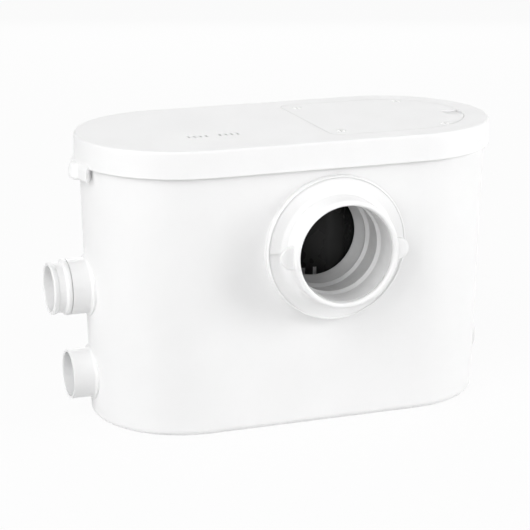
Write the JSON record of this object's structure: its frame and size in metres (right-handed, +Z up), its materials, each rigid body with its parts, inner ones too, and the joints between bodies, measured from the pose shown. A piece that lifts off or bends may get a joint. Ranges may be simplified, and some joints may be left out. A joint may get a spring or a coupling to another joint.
{
  "type": "macerator toilet pump",
  "caption": "Boxed macerator pump for a toilet: oblong white tank with lid and access cover, pan inlet collar in front, discharge nozzle and waste inlet at one end.",
  "frame": {"origin": "middle of the tank's flat base, on the floor", "axes": "+X along the tank away from the discharge end, -Y out of the pan inlet, +Z up"},
  "size_m": [0.4634, 0.2479, 0.29],
  "materials": {
    "white_abs": "moulded ABS, fine satin gloss",
    "soft_grey": "soft grey moulded elastomer",
    "grey_pp": "grey moulded polypropylene, matt",
    "black_pp": "black moulded polypropylene, satin",
    "black_rubber": "black EPDM, matt",
    "stainless": "turned stainless steel",
    "lamination": "stacked electrical sheet",
    "copper": "varnished copper wire",
    "painted_can": "dark grey stove enamel",
    "cast_alu": "die cast aluminium, as cast",
    "board": "green glass epoxy board",
    "cap_case": "grey capacitor case",
    "red_pom": "red acetal",
    "carbon": "carbon filter foam"
  },
  "bodies": {
    "base": {"tank": "white_abs", "wc_flange": "white_abs", "wc_sleeve": "soft_grey", "basket": "black_pp", "pump_volute": "grey_pp", "suction_plate": "stainless", "pump_screws": "stainless", "stator_core": "lamination", "windings": "copper", "motor_can": "painted_can", "motor_bracket": "cast_alu", "motor_cover": "cast_alu", "front_bearing": "stainless", "rear_bearing": "stainless", "shaft_seal": "black_rubber", "motor_saddles": "black_rubber", "discharge_pipe": "grey_pp", "hose_clip": "stainless", "discharge_nozzle": "white_abs", "nrv_pin": "stainless", "inlet_seat": "grey_pp", "inlet_pin": "stainless", "blank_plug": "white_abs", "cable_gland": "grey_pp", "gland_nut": "grey_pp", "control_tray": "grey_pp", "control_box": "grey_pp", "control_cover": "grey_pp", "circuit_board": "board", "capacitor": "cap_case", "pressure_switch": "black_pp", "air_bell": "grey_pp"},
    "rotor": {"shaft": "stainless", "rotor_core": "lamination", "impeller": "black_pp", "cutter_blade": "stainless", "blade_nut": "stainless"},
    "lid_set": {"lid": "white_abs", "lid_gasket": "black_rubber", "cover_seal": "black_rubber", "filter_holder": "white_abs", "vent_filter": "carbon"},
    "cover_set": {"access_cover": "white_abs", "cover_screws": "stainless"},
    "nrv": {"nrv_flap": "black_rubber"},
    "inlet_valve": {"inlet_flap": "black_rubber"},
    "plunger": {"switch_plunger": "red_pom"}
  },
  "joints": [
    {"name": "rotor_spin", "type": "hinge", "parent": "base", "child": "rotor", "pos_m": [-0.1, 0.022, 0.062], "axis": [1, 0, 0], "continuous": true},
    {"name": "lid_lift", "type": "slide", "parent": "base", "child": "lid_set", "axis": [0, 0, 1], "range_m": [0, 0.12]},
    {"name": "cover_lift", "type": "slide", "parent": "lid_set", "child": "cover_set", "axis": [0, 0, 1], "range_m": [0, 0.08]},
    {"name": "nrv_swing", "type": "hinge", "parent": "base", "child": "nrv", "pos_m": [-0.21662, 0.008, 0.1536], "axis": [0, 1, 0], "range_deg": [0, 50], "stiffness_Nm_per_rad": 0.002, "springref_deg": -11.46},
    {"name": "inlet_swing", "type": "hinge", "parent": "base", "child": "inlet_valve", "pos_m": [-0.206, 0.008, 0.0625], "axis": [0, -1, 0], "range_deg": [0, 50], "stiffness_Nm_per_rad": 0.002, "springref_deg": -11.46},
    {"name": "switch_press", "type": "slide", "parent": "base", "child": "plunger", "axis": [0, 0, 1], "range_m": [0, 0.002], "stiffness_N_per_m": 150}
  ]
}
